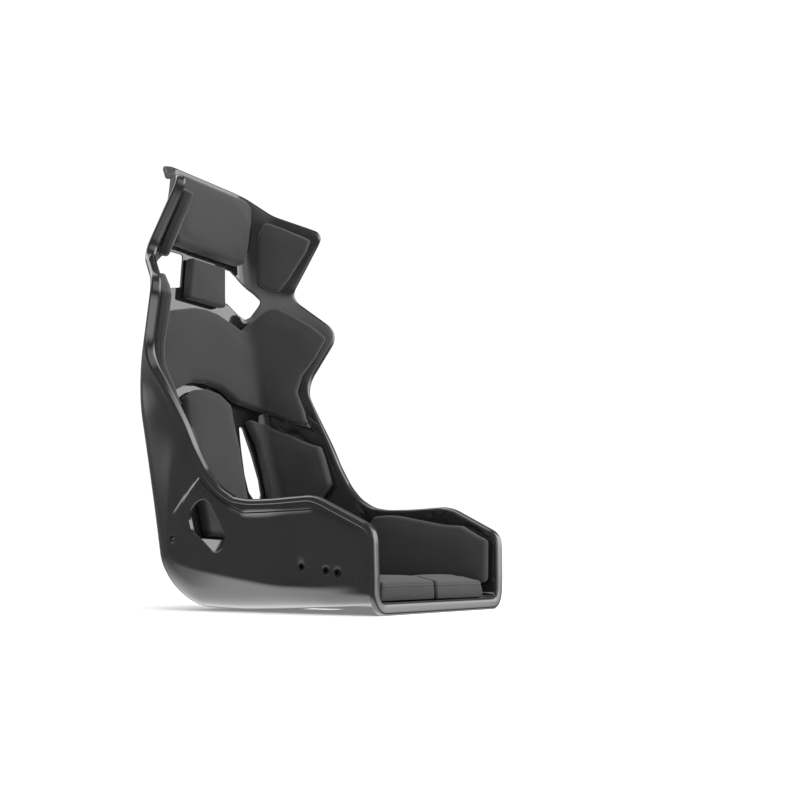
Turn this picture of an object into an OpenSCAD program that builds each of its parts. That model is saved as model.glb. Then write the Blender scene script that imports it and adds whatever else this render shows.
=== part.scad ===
// Fixed-back racing bucket seat: glass-fibre shell, trimmed foam pads and side-mount inserts.
// Millimetres. X points to the sitter's left, the seat faces -Y, Z is up, the floor is Z = 0.

/* [Shell] */
// Laminate thickness
wall = 4; // [3:0.5:6]
// Depth of the rolled lip behind the rim
lip_depth = 20; // [16:1:24]
// Radius of the roll between the shell face and the lip
lip_roll = 7; // [6:0.5:9]
// Radius of the tucked edge of the lip
lip_tuck = 4.5; // [4:0.5:6]

/* [Pads] */
// Stand-off of every pad from the shell face
pad_gap = 2.4; // [2:0.2:4]
// Thickness of the fabric cover
cover = 1.6; // [1:0.2:2.5]
// Height of the rounded edge of a pad
pad_edge = 7; // [4:1:10]
// Thickness of the back, lumbar and head side pads
pad_back = 24; // [18:1:30]
// Thickness of the head pad
pad_head = 33; // [27:1:36]
// Thickness of the neck pad
pad_neck = 25; // [18:1:30]
// Thickness of the thigh pads
pad_thigh = 22; // [18:1:28]
// Play between a cover and its foam
foam_play = 0.3; // [0.2:0.1:0.6]

/* [Side mounts] */
// Bore of the threaded inserts
mount_bore = 8; // [6:1:10]
// Barrel diameter of the inserts
barrel = 13; // [12:0.5:16]
// Flange diameter of the inserts inside the shell
flange = 24; // [20:1:28]
// Flange thickness
flange_t = 2.4; // [2:0.2:3]

/* [Hidden] */
$fn = 36;
play = 0.3;
shift = [0, -27.95, -0.854];
flange_gap = 0.9;
patch_gap = 0.5;
patch_t = 1.3;
// Reach of the cutting bodies, and of the parts above the shoulders
tall = 400;
over = 1200;
// Start of the insert bores, inside the side walls
inboard = 150;
// Folded edge inside the lip: how far in, how far it stands clear, step to the laminate
edge_in = -3;
edge_clear = 0.6;
edge_step = 2.4;
edge_rise = 1;
// Height of a pad's side below its front, as a share of the rounded edge
side_share = 0.8;

// Stations along the centre line. Columns: distance q, centre y and z, half width of the
// flat, its corner length, second bend x y z and corner length, rim x y z, blend length.
STN = [
  [0, -252, 21, 196, 16, 197, -252, 60, 8, 199, -252, 116, 0],
  [5, -247, 21, 196, 16, 197, -248, 60, 8, 200, -250, 128, 2],
  [12, -240, 21, 196, 16, 198, -241, 58, 8, 201, -242, 137, 3],
  [24, -228, 20, 196, 17, 199, -228, 52, 8, 202, -228, 144, 6],
  [104, -148, 16, 192, 18, 204, -148, 42, 6, 211, -148, 184, 16],
  [200, -58, 11, 184, 30, 204, -60, 44, 5, 210, -70, 181, 30],
  [318, 60, 7, 180, 36, 204, 44, 60, 5, 206, -12, 181, 40],
  [408, 152, 11, 188, 40, 204, 118, 74, 5, 205, 27, 188, 26],
  [452, 194, 42, 192, 38, 204, 160, 84, 5, 205, 60, 208, 18],
  [494, 219, 80, 194, 34, 203, 186, 106, 5, 207, 86, 236, 16],
  [580, 237, 164, 192, 30, 203, 186, 202, 10, 209, 111, 276, 30],
  [690, 264, 270, 188, 28, 203, 186, 304, 10, 211, 136, 328, 40],
  [810, 293, 386, 184, 26, 201, 235, 386, 12, 215, 166, 380, 45],
  [885, 304, 460, 168, 24, 194, 262, 462, 14, 229, 211, 460, 28],
  [990, 306, 565, 148, 22, 200, 243, 571, 12, 269, 152, 578, 22],
  [1085, 305, 660, 130, 22, 168, 272, 660, 12, 206, 236, 657, 22],
  [1205, 300, 780, 112, 20, 152, 242, 779, 12, 209, 156, 778, 22],
  [1245, 298, 820, 106, 20, 150, 240, 808, 12, 206, 160, 790, 14],
  [1298, 296, 873, 102, 20, 150, 240, 826, 14, 194, 177, 798, 0]
];
q_max = 1298;

// Rows and columns of the shell mesh
ROWS = [0, 4, 9, 16, 26, 60, 90, 104, 120, 160, 200, 240, 280, 318, 355, 385, 408, 430, 452,
        474, 496, 530, 580, 620, 690, 750, 800, 840, 868, 885, 902, 935, 970, 982, 990, 998,
        1010, 1040, 1068, 1078, 1086, 1096, 1145, 1185, 1196, 1205, 1215, 1230, 1245, 1262,
        1280, 1298];
HALF_COLS = [1, 1.33, 1.67, 2, 3, 3.5, 4, 5];
COLS = concat([for (k = [len(HALF_COLS) - 1:-1:0]) -HALF_COLS[k]], [0], HALF_COLS);

function unit(v) = v / norm(v);
function clamp(v, lo, hi) = min(hi, max(lo, v));
function row_of(q) = max([for (k = [0:len(STN) - 2]) if (STN[k][0] <= q || k == 0) k]);
function slope(i) = (STN[i + 1] - STN[i]) / (STN[i + 1][0] - STN[i][0]);
function inner_knot(j) = j > 0 && j < len(STN) - 1;
function near_knot(j, q) = inner_knot(j) && abs(q - STN[j][0]) < STN[j][12];
function blend(j, q) =
  let (m = slope(j - 1), n = slope(j), d = q - STN[j][0], w = STN[j][12])
  STN[j] + m * d + (n - m) * pow(d + w, 2) / (4 * w);
function station(q) =
  let (i = row_of(q))
  near_knot(i, q) ? blend(i, q)
  : near_knot(i + 1, q) ? blend(i + 1, q)
  : STN[i] + slope(i) * (q - STN[i][0]);

// Point of one cross-section; |c| runs 0 to 5 from the centre line to the rim
function bend(p, v, s, u) = p * pow(1 - u, 2) + 2 * v * u * (1 - u) + s * u * u;
function section(v, c) =
  let (
    a = abs(c),
    o = [0, v[1], v[2]],
    v1 = [v[3], v[1], v[2]],
    v2 = [v[5], v[6], v[7]],
    r = [v[9], v[10], v[11]],
    d = [1, 0, 0],
    e = unit(v2 - v1),
    f = unit(r - v2),
    p = a <= 1 ? o + (v1 - d * v[4] - o) * a
      : a <= 2 ? bend(v1 - d * v[4], v1, v1 + e * v[4], a - 1)
      : a <= 3 ? (v1 + e * v[4]) * (3 - a) + (v2 - e * v[8]) * (a - 2)
      : a <= 4 ? bend(v2 - e * v[8], v2, v2 + f * v[8], a - 3)
      : (v2 + f * v[8]) * (5 - a) + r * (a - 4)
  )
  [c < 0 ? -p[0] : p[0], p[1], p[2]];
function face(q, c) = section(station(q), c);

// Unit normal pointing out of the seat
function normal(q, c) =
  let (
    qq = clamp(q, 26, q_max - 28),
    cc = clamp(c, -4.7, 4.7),
    along = section(station(qq + 1), cc) - section(station(qq - 1), cc),
    across = section(station(qq), cc + 0.02) - section(station(qq), cc - 0.02)
  )
  unit(cross(along, across));
function lifted(q, c, h) = face(q, c) - normal(q, c) * h;

// Faces of a grid of m rows and n columns starting at vertex s
function grid_faces(m, n, s, flip) = [
  for (i = [0:m - 2]) for (j = [0:n - 2])
    let (a = s + i * n + j, b = a + 1, c = a + n + 1, d = a + n)
    each flip ? [[a, b, c], [a, c, d]] : [[a, c, b], [a, d, c]]
];
// Indices of the outline of a grid, in order
function outline(m, n) = concat(
  [for (j = [0:n - 1]) j],
  [for (i = [1:m - 1]) i * n + n - 1],
  [for (j = [n - 2:-1:0]) (m - 1) * n + j],
  [for (i = [m - 2:-1:1]) i * n]
);
// Strip between two closed loops of k vertices
function strip(p, r, flip) = [
  for (t = [0:len(p) - 1])
    let (u = (t + 1) % len(p), a = p[t], b = p[u], c = r[u], d = r[t])
    each flip ? [[a, b, c], [a, c, d]] : [[a, c, b], [a, d, c]]
];

// Section of the rolled lip: distance outwards from the rim and behind the face
LIP = concat(
  [for (a = [30:30:90]) [lip_roll * sin(a), lip_roll * (1 - cos(a))]],
  [for (a = [0:45:90]) [lip_roll - lip_tuck * (1 - cos(a)), lip_depth - lip_tuck * (1 - sin(a))]],
  [[edge_in, lip_depth], [edge_in, lip_depth - wall + edge_clear]],
  [[edge_step, lip_depth - wall + edge_clear], [lip_roll - wall, lip_depth - wall - edge_rise]],
  [[lip_roll - wall, lip_roll], [(lip_roll - wall) * 0.6, wall + edge_clear]]
);

module blank_shell() {
  m = len(ROWS);
  n = len(COLS);
  inner = [for (q = ROWS) for (c = COLS) face(q, c)];
  norms = [for (q = ROWS) for (c = COLS) normal(q, c)];
  outer = [for (k = [0:m * n - 1]) inner[k] + norms[k] * wall];
  edge = outline(m, n);
  k = len(edge);
  out = [for (t = [0:k - 1])
    unit(cross(norms[edge[t]], inner[edge[(t + 1) % k]] - inner[edge[(t + k - 1) % k]]))];
  rings = [for (p = LIP) for (t = [0:k - 1])
    inner[edge[t]] + out[t] * p[0] + norms[edge[t]] * p[1]];
  base = 2 * m * n;
  loops = concat(
    [edge],
    [for (r = [0:len(LIP) - 1]) [for (t = [0:k - 1]) base + r * k + t]],
    [[for (t = edge) t + m * n]]
  );
  polyhedron(
    concat(inner, outer, rings),
    concat(
      grid_faces(m, n, 0, false),
      grid_faces(m, n, m * n, true),
      [for (r = [0:len(loops) - 2]) each strip(loops[r], loops[r + 1], true)]
    ),
    convexity = 10
  );
}

// Harness slot beside the neck, lumbar slot, lap-belt hole and crotch slot
HARNESS = [[57, 704], [92, 703], [110, 694], [149, 662], [162, 648], [160, 638], [149, 612],
           [140, 605], [90, 629], [60, 636]];
LUMBAR = [[108, 364], [113, 369], [120, 364], [134, 308], [142, 256], [140, 226], [132, 214],
          [112, 214], [101, 228], [98, 264], [102, 316]];
LAP = [[97, 193], [114, 188], [127, 175], [132, 157], [127, 141], [79, 103], [67, 101],
       [54, 107], [47, 121], [51, 137], [84, 186]];
CROTCH = [[-17, -43], [17, -43], [17, 27], [-17, 27]];
// Insert positions on a side wall: distance y, height z
MOUNTS = [[174, 126], [-115, 76], [-162, 70], [-183, 67]];
slot_round = 3;

module rounded(points) {
  offset(r = slot_round) offset(delta = -slot_round) polygon(points);
}
module along_y(points) {
  translate([0, tall, 0]) rotate([90, 0, 0]) linear_extrude(tall) rounded(points);
}
module side_prism(points) {
  rotate([90, 0, 90]) linear_extrude(tall) rounded(points);
}
module both() {
  children();
  mirror([1, 0, 0]) children();
}

module carved_shell() {
  difference() {
    blank_shell();
    both() along_y(HARNESS);
    both() along_y(LUMBAR);
    both() side_prism(LAP);
    translate([0, 0, -tall / 2]) linear_extrude(tall) rounded(CROTCH);
    both() for (p = MOUNTS)
      translate([inboard, p[0], p[1]]) rotate([0, 90, 0])
        cylinder(d = barrel + 2 * play, h = tall);
  }
}

// The shell is one laminate. Its nodes are parts of it that meet face to face:
// levels of the cuts in z, and how far the middle part reaches in x between them.
FLOOR_TOP = 60;
HIP_TOP = 400;
SHOULDER_TOP = 654;
HIP_X = 176;
SHOULDER_X = 150;
HEAD_X = 112;
module shell_part(x0, x1, z0, z1) {
  color([0.05, 0.05, 0.055])
  translate(shift)
  resize([0, 0, 0])
  intersection() {
    carved_shell();
    translate([x0, -tall, z0]) cube([x1 - x0, 2 * tall, z1 - z0]);
  }
}
module shell_pan() {
  shell_part(-HIP_X, HIP_X, -tall, FLOOR_TOP);
}
module shell_back_lower() {
  shell_part(-HIP_X, HIP_X, FLOOR_TOP, HIP_TOP);
}
module shell_back_upper() {
  shell_part(-SHOULDER_X, SHOULDER_X, HIP_TOP, SHOULDER_TOP);
}
module shell_head() {
  shell_part(-HEAD_X, HEAD_X, SHOULDER_TOP, over);
}
module shell_side_left() {
  shell_part(HIP_X, tall, -tall, HIP_TOP);
}
module shell_side_right() {
  shell_part(-tall, -HIP_X, -tall, HIP_TOP);
}
module shell_shoulder_left() {
  shell_part(SHOULDER_X, tall, HIP_TOP, SHOULDER_TOP);
}
module shell_shoulder_right() {
  shell_part(-tall, -SHOULDER_X, HIP_TOP, SHOULDER_TOP);
}
module shell_head_wing_left() {
  shell_part(HEAD_X, tall, SHOULDER_TOP, over);
}
module shell_head_wing_right() {
  shell_part(-tall, -HEAD_X, SHOULDER_TOP, over);
}

// Straight-line lookup along a list, by fraction of its length
function poly_at(list, t) =
  let (k = t * (len(list) - 1), i = min(floor(k), len(list) - 2))
  list[i] + (list[i + 1] - list[i]) * (k - i);
function last(list) = list[len(list) - 1];
// Four-sided patch through the bottom, top, left and right edges of a pad
function coons(d, u, v) =
  poly_at(d[0], u) * (1 - v) + poly_at(d[1], u) * v
  + poly_at(d[2], v) * (1 - u) + poly_at(d[3], v) * u
  - d[0][0] * (1 - u) * (1 - v) - last(d[0]) * u * (1 - v)
  - d[1][0] * (1 - u) * v - last(d[1]) * u * v;

// A pad: [bottom, top, left, right edges in (q, c)], size, rows and columns, gap,
// thickness by q, and whether the front is flat
function mirrored(list) = [for (k = [len(list) - 1:-1:1]) [list[k][0], -list[k][1]]];
function whole(half) = concat(mirrored(half), half);
function flipped(list) = [for (p = list) [p[0], -p[1]]];
function even(bottom, top, right) = [whole(bottom), whole(top), flipped(right), right];

function thick(pad, q) = lookup(q, pad[4]);
function pad_back_pt(pad, p) = lifted(p[0], p[1], pad[3]);
function pad_front_pt(pad, p) =
  let (t = thick(pad, p[0]), f = face(p[0], p[1]))
  pad[5] ? [f[0], station(p[0])[1] - t, f[2]] : lifted(p[0], p[1], t);
// Point at height h of the pad, 0 at the back and 1 at the front
function pad_pt(pad, u, v, h) =
  let (p = coons(pad[0], u, v), a = pad_back_pt(pad, p), b = pad_front_pt(pad, p))
  a + (b - a) * h;

function steps(n, e, d) = concat([d], [for (k = [0:n]) d + e + (1 - 2 * d - 2 * e) * k / n], [1 - d]);

// Vertices of the front and sides of a pad shrunk by s
function pad_skin(pad, s) =
  let (
    w = pad[1][0],
    l = pad[1][1],
    us = steps(pad[2][0], pad_edge / w, s / w),
    vs = steps(pad[2][1], pad_edge / l, s / l),
    m = len(vs),
    n = len(us),
    full = thick(pad, coons(pad[0], 0.5, 0.5)[0]) - pad[3],
    top = 1 - s / full,
    low = 1 - (s + pad_edge * side_share) / full
  )
  [m, n,
   [for (i = [0:m - 1]) for (j = [0:n - 1])
     pad_pt(pad, us[j], vs[i], i == 0 || j == 0 || i == m - 1 || j == n - 1 ? low : top)],
   [for (i = [0:m - 1]) for (j = [0:n - 1]) pad_pt(pad, us[j], vs[i], 0)]];
function pick(list, keys) = [for (k = keys) list[k]];
function count_from(s, k) = [for (t = [0:k - 1]) s + t];

module cover_of(pad) {
  a = pad_skin(pad, 0);
  b = pad_skin(pad, cover);
  m = a[0];
  n = a[1];
  e = outline(m, n);
  k = len(e);
  g = m * n;
  polyhedron(
    concat(a[2], b[2], pick(a[3], e), pick(b[3], e)),
    concat(
      grid_faces(m, n, 0, true),
      grid_faces(m, n, g, false),
      strip(e, count_from(2 * g, k), false),
      strip(count_from(2 * g, k), count_from(2 * g + k, k), false),
      strip(count_from(2 * g + k, k), [for (t = e) t + g], false)
    ),
    convexity = 8
  );
}
module foam_of(pad) {
  a = pad_skin(pad, cover + foam_play);
  m = a[0];
  n = a[1];
  g = m * n;
  e = outline(m, n);
  polyhedron(
    concat(a[2], a[3]),
    concat(
      grid_faces(m, n, 0, true),
      grid_faces(m, n, g, false),
      strip(e, [for (t = e) t + g], false)
    ),
    convexity = 8
  );
}
// Hook-and-loop patch over q from a to b and c from s to t
module patch_of(a, b, s, t) {
  k = 3;
  low = [for (i = [0:k]) for (j = [0:k])
    lifted(a + (b - a) * i / k, s + (t - s) * j / k, patch_gap)];
  high = [for (i = [0:k]) for (j = [0:k])
    lifted(a + (b - a) * i / k, s + (t - s) * j / k, patch_gap + patch_t)];
  g = (k + 1) * (k + 1);
  e = outline(k + 1, k + 1);
  polyhedron(
    concat(low, high),
    concat(
      grid_faces(k + 1, k + 1, 0, false),
      grid_faces(k + 1, k + 1, g, true),
      strip([for (v = e) v + g], e, false)
    ),
    convexity = 4
  );
}

BACK_T = [[0, pad_back], [q_max, pad_back]];
HEAD_T = [[0, pad_head], [q_max, pad_head]];
NECK_T = [[0, pad_neck], [q_max, pad_neck]];
THIGH_T = [[0, pad_thigh], [q_max, pad_thigh]];
SEAT_T = [[0, 30], [10, 32], [45, 44], [150, 34], [250, 27], [420, 24]];
thigh_gap = flange_t + 3;

HEAD = [even([[1137, 0], [1137, 0.6], [1138, 1.15]],
             [[1283, 0], [1283, 1.0], [1281, 2.1]],
             [[1138, 1.15], [1185, 1.6], [1240, 2.05], [1281, 2.1]]),
        [237, 148], [6, 4], pad_gap, HEAD_T, true];
HEAD_SIDE = [[[[1106, 2.7], [1096, 3.6], [1094, 4.4]],
              [[1252, 2.95], [1240, 4.16], [1206, 4.88]],
              [[1106, 2.7], [1158, 2.62], [1215, 2.62], [1252, 2.95]],
              [[1094, 4.4], [1125, 4.7], [1180, 4.88], [1206, 4.88]]],
             [100, 140], [5, 5], pad_gap, BACK_T, false];
NECK = [even([[1037, 0], [1037, 0.49]], [[1124, 0], [1124, 0.51]], [[1037, 0.49], [1124, 0.51]]),
        [108, 90], [3, 3], pad_gap, NECK_T, false];
UPPER = [even([[868, 0], [863, 0.3], [838, 0.62], [831, 0.95], [827, 1.6], [816, 2.6],
               [803, 3.4], [793, 4.0], [786, 4.3], [779, 4.55], [773, 4.72]],
              [[1026, 0], [1023, 0.3], [1010, 0.7], [1000, 0.95], [1022, 1.6], [1047, 2.76],
               [1054, 3.5], [1054, 4.08], [1038, 4.4], [1010, 4.66], [980, 4.9]],
              [[773, 4.72], [828, 4.74], [870, 4.66], [906, 4.76], [940, 4.88], [980, 4.9]]),
         [440, 200], [16, 6], pad_gap, BACK_T, false];
LUMBAR_MID = [even([[545, 0], [547, 0.42]], [[857, 0], [851, 0.24], [830, 0.46]],
                   [[547, 0.42], [640, 0.45], [740, 0.48], [830, 0.46]]),
              [145, 300], [4, 7], pad_gap, BACK_T, false];
LUMBAR_SIDE = [[[[545, 0.94], [545, 2.0], [545, 3.4], [542, 4.84]],
                [[806, 0.76], [800, 1.8], [757, 3.68], [690, 4.84]],
                [[545, 0.94], [620, 0.93], [690, 0.93], [750, 0.91], [806, 0.76]],
                [[542, 4.84], [600, 4.86], [660, 4.86], [690, 4.84]]],
               [180, 220], [8, 5], pad_gap, BACK_T, false];
THIGH = [[[[8, 2.8], [60, 2.4], [200, 2.3], [330, 2.3]],
          [[8, 4.84], [60, 4.85], [200, 4.87], [350, 4.87]],
          [[8, 2.8], [8, 4.84]],
          [[330, 2.3], [350, 4.87]]],
         [260, 130], [7, 3], thigh_gap, THIGH_T, false];
SEAT = [[[[8, 0.012], [8, 0.96]],
         [[425, 0.012], [425, 0.9]],
         [[8, 0.012], [206, 0.012], [213, 0.15], [290, 0.15], [297, 0.012], [425, 0.012]],
         [[8, 0.96], [60, 1.1], [120, 1.3], [200, 1.42], [300, 1.42], [370, 1.2], [425, 0.9]]],
        [172, 420], [3, 11], pad_gap, SEAT_T, false];

FABRIC = [0.16, 0.16, 0.17];
FOAM = [0.75, 0.68, 0.5];
TAPE = [0.09, 0.09, 0.09];
STEEL = [0.6, 0.61, 0.63];

module covered(pad) {
  color(FABRIC) translate(shift) cover_of(pad);
}
module foamed(pad) {
  color(FOAM) translate(shift) foam_of(pad);
}
module taped(a, b, s, t) {
  color(TAPE) translate(shift) patch_of(a, b, s, t);
}
module on_right() {
  mirror([1, 0, 0]) children();
}

// Inner face x of the side wall at distance y
WALL_X = [[-183, 203.2], [-162, 203.9], [-115, 206.0], [174, 203.3]];
// How far a bore runs past each end of its insert
run_out = 2;

// Threaded insert of one side wall: flange inside, barrel through the laminate
module insert(k) {
  p = MOUNTS[k];
  w = lookup(p[0], WALL_X);
  color(STEEL)
  translate(shift + [w, p[0], p[1]]) rotate([0, 90, 0]) difference() {
    union() {
      translate([0, 0, -flange_t - flange_gap]) cylinder(d = flange, h = flange_t);
      translate([0, 0, -flange_t - flange_gap])
        cylinder(d = barrel, h = flange_t + flange_gap + wall);
    }
    translate([0, 0, -flange_t - run_out])
      cylinder(d = mount_bore, h = flange_t + wall + 2 * run_out);
  }
}

module head_pad_cover() {
  covered(HEAD);
}
module head_pad_foam() {
  foamed(HEAD);
}
module head_pad_tape() {
  taped(1160, 1250, -0.7, 0.7);
}
module neck_pad_cover() {
  covered(NECK);
}
module neck_pad_foam() {
  foamed(NECK);
}
module neck_pad_tape() {
  taped(1055, 1112, -0.36, 0.36);
}
module upper_back_pad_cover() {
  covered(UPPER);
}
module upper_back_pad_foam() {
  foamed(UPPER);
}
module upper_back_pad_tape() {
  taped(900, 985, -0.75, 0.75);
}
module lumbar_pad_cover() {
  covered(LUMBAR_MID);
}
module lumbar_pad_foam() {
  foamed(LUMBAR_MID);
}
module lumbar_pad_tape() {
  taped(600, 790, -0.34, 0.34);
}
module head_side_pad_cover_left() {
  covered(HEAD_SIDE);
}
module head_side_pad_cover_right() {
  on_right() covered(HEAD_SIDE);
}
module head_side_pad_foam_left() {
  foamed(HEAD_SIDE);
}
module head_side_pad_foam_right() {
  on_right() foamed(HEAD_SIDE);
}
module head_side_pad_tape_left() {
  taped(1130, 1215, 4.1, 4.55);
}
module head_side_pad_tape_right() {
  on_right() taped(1130, 1215, 4.1, 4.55);
}
module lumbar_side_pad_cover_left() {
  covered(LUMBAR_SIDE);
}
module lumbar_side_pad_cover_right() {
  on_right() covered(LUMBAR_SIDE);
}
module lumbar_side_pad_foam_left() {
  foamed(LUMBAR_SIDE);
}
module lumbar_side_pad_foam_right() {
  on_right() foamed(LUMBAR_SIDE);
}
module lumbar_side_pad_tape_left() {
  taped(590, 670, 4.15, 4.6);
}
module lumbar_side_pad_tape_right() {
  on_right() taped(590, 670, 4.15, 4.6);
}
module thigh_pad_cover_left() {
  covered(THIGH);
}
module thigh_pad_cover_right() {
  on_right() covered(THIGH);
}
module thigh_pad_foam_left() {
  foamed(THIGH);
}
module thigh_pad_foam_right() {
  on_right() foamed(THIGH);
}
module thigh_pad_tape_left() {
  taped(215, 300, 4.2, 4.75);
}
module thigh_pad_tape_right() {
  on_right() taped(215, 300, 4.2, 4.75);
}
module seat_pad_cover_left() {
  covered(SEAT);
}
module seat_pad_cover_right() {
  on_right() covered(SEAT);
}
module seat_pad_foam_left() {
  foamed(SEAT);
}
module seat_pad_foam_right() {
  on_right() foamed(SEAT);
}
module seat_pad_tape_left() {
  taped(60, 190, 0.25, 0.75);
}
module seat_pad_tape_right() {
  on_right() taped(60, 190, 0.25, 0.75);
}
module mount_rear_left() {
  insert(0);
}
module mount_rear_right() {
  on_right() insert(0);
}
module mount_front_a_left() {
  insert(1);
}
module mount_front_a_right() {
  on_right() insert(1);
}
module mount_front_b_left() {
  insert(2);
}
module mount_front_b_right() {
  on_right() insert(2);
}
module mount_front_c_left() {
  insert(3);
}
module mount_front_c_right() {
  on_right() insert(3);
}

shell_pan();
shell_back_lower();
shell_back_upper();
shell_head();
shell_side_left();
shell_side_right();
shell_shoulder_left();
shell_shoulder_right();
shell_head_wing_left();
shell_head_wing_right();
head_pad_cover();
head_pad_foam();
head_pad_tape();
neck_pad_cover();
neck_pad_foam();
neck_pad_tape();
upper_back_pad_cover();
upper_back_pad_foam();
upper_back_pad_tape();
lumbar_pad_cover();
lumbar_pad_foam();
lumbar_pad_tape();
head_side_pad_cover_left();
head_side_pad_cover_right();
head_side_pad_foam_left();
head_side_pad_foam_right();
head_side_pad_tape_left();
head_side_pad_tape_right();
lumbar_side_pad_cover_left();
lumbar_side_pad_cover_right();
lumbar_side_pad_foam_left();
lumbar_side_pad_foam_right();
lumbar_side_pad_tape_left();
lumbar_side_pad_tape_right();
thigh_pad_cover_left();
thigh_pad_cover_right();
thigh_pad_foam_left();
thigh_pad_foam_right();
thigh_pad_tape_left();
thigh_pad_tape_right();
seat_pad_cover_left();
seat_pad_cover_right();
seat_pad_foam_left();
seat_pad_foam_right();
seat_pad_tape_left();
seat_pad_tape_right();
mount_rear_left();
mount_rear_right();
mount_front_a_left();
mount_front_a_right();
mount_front_b_left();
mount_front_b_right();
mount_front_c_left();
mount_front_c_right();
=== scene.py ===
"""Looks of a fixed-back racing bucket seat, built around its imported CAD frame.

The shell and every pad follow one surface: q runs along the centre profile from the front
edge of the seat to the top of the head rest, and |c| runs from the centre line to the rim.
"""

import math

import bmesh
import bpy
import numpy as np
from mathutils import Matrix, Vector, kdtree
from mathutils.geometry import delaunay_2d_cdt


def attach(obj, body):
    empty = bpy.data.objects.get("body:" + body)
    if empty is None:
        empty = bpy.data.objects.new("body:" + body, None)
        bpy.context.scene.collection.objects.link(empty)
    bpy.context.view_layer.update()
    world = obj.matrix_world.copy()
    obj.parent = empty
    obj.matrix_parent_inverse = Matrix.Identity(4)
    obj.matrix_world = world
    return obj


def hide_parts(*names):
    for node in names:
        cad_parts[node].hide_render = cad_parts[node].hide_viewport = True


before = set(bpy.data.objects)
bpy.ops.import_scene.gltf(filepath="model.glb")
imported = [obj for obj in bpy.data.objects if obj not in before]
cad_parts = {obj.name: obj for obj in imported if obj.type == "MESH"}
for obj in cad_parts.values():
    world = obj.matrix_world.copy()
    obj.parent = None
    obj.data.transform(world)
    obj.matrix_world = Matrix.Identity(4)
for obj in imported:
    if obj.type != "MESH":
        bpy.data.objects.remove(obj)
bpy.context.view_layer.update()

# ---------------------------------------------------------------- surface, in millimetres
MM = 0.001
SHIFT = np.array([0, -27.95, -0.854])
WALL = 4.0
# Columns: distance q, centre y and z, half width of the flat, its corner length, second
# bend x y z and corner length, rim x y z, and BLEND, half the length a bend along q takes
STN = np.array([
    [0, -252, 21, 196, 16, 197, -252, 60, 8, 199, -252, 116, 0],
    [5, -247, 21, 196, 16, 197, -248, 60, 8, 200, -250, 128, 2],
    [12, -240, 21, 196, 16, 198, -241, 58, 8, 201, -242, 137, 3],
    [24, -228, 20, 196, 17, 199, -228, 52, 8, 202, -228, 144, 6],
    [104, -148, 16, 192, 18, 204, -148, 42, 6, 211, -148, 184, 16],
    [200, -58, 11, 184, 30, 204, -60, 44, 5, 210, -70, 181, 30],
    [318, 60, 7, 180, 36, 204, 44, 60, 5, 206, -12, 181, 40],
    [408, 152, 11, 188, 40, 204, 118, 74, 5, 205, 27, 188, 26],
    [452, 194, 42, 192, 38, 204, 160, 84, 5, 205, 60, 208, 18],
    [494, 219, 80, 194, 34, 203, 186, 106, 5, 207, 86, 236, 16],
    [580, 237, 164, 192, 30, 203, 186, 202, 10, 209, 111, 276, 30],
    [690, 264, 270, 188, 28, 203, 186, 304, 10, 211, 136, 328, 40],
    [810, 293, 386, 184, 26, 201, 235, 386, 12, 215, 166, 380, 45],
    [885, 304, 460, 168, 24, 194, 262, 462, 14, 229, 211, 460, 28],
    [990, 306, 565, 148, 22, 200, 243, 571, 12, 269, 152, 578, 22],
    [1085, 305, 660, 130, 22, 168, 272, 660, 12, 206, 236, 657, 22],
    [1205, 300, 780, 112, 20, 152, 242, 779, 12, 209, 156, 778, 22],
    [1245, 298, 820, 106, 20, 150, 240, 808, 12, 206, 160, 790, 14],
    [1298, 296, 873, 102, 20, 150, 240, 826, 14, 194, 177, 798, 0],
], float)
BLEND = 12
Q_MAX = STN[-1, 0]
C_MAX = 5.0
SLOPES = np.diff(STN, axis=0) / np.diff(STN[:, 0])[:, None]


def exact_station(q):
    """The columns of STN at q, straight between rows and a parabola round each row."""
    q = np.asarray(q, float)
    k = np.clip(np.searchsorted(STN[:, 0], q, side="right") - 1, 0, len(STN) - 2)
    out = STN[k] + SLOPES[k] * (q - STN[k, 0])[..., None]
    for j in range(1, len(STN) - 1):
        d = q - STN[j, 0]
        w = STN[j, BLEND]
        rise = ((d + w) ** 2 / (4 * w))[..., None]
        bent = STN[j] + SLOPES[j - 1] * d[..., None] + (SLOPES[j] - SLOPES[j - 1]) * rise
        out = np.where((np.abs(d) < w)[..., None], bent, out)
    return out


TABLE_STEP = 0.25
TABLE = exact_station(np.arange(0, Q_MAX + 1, TABLE_STEP))


def station(q):
    """exact_station, looked up in a table."""
    t = np.clip(np.asarray(q, float), 0, Q_MAX) / TABLE_STEP
    i = np.floor(t).astype(int)
    f = (t - i)[..., None]
    return TABLE[i] * (1 - f) + TABLE[i + 1] * f


def unit(v):
    return v / np.maximum(np.linalg.norm(v, axis=-1, keepdims=True), 1e-12)


def bezier(p, v, s, u):
    """Quadratic curve from p to s with its corner at v."""
    return p * (1 - u) ** 2 + 2 * v * u * (1 - u) + s * u * u


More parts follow.
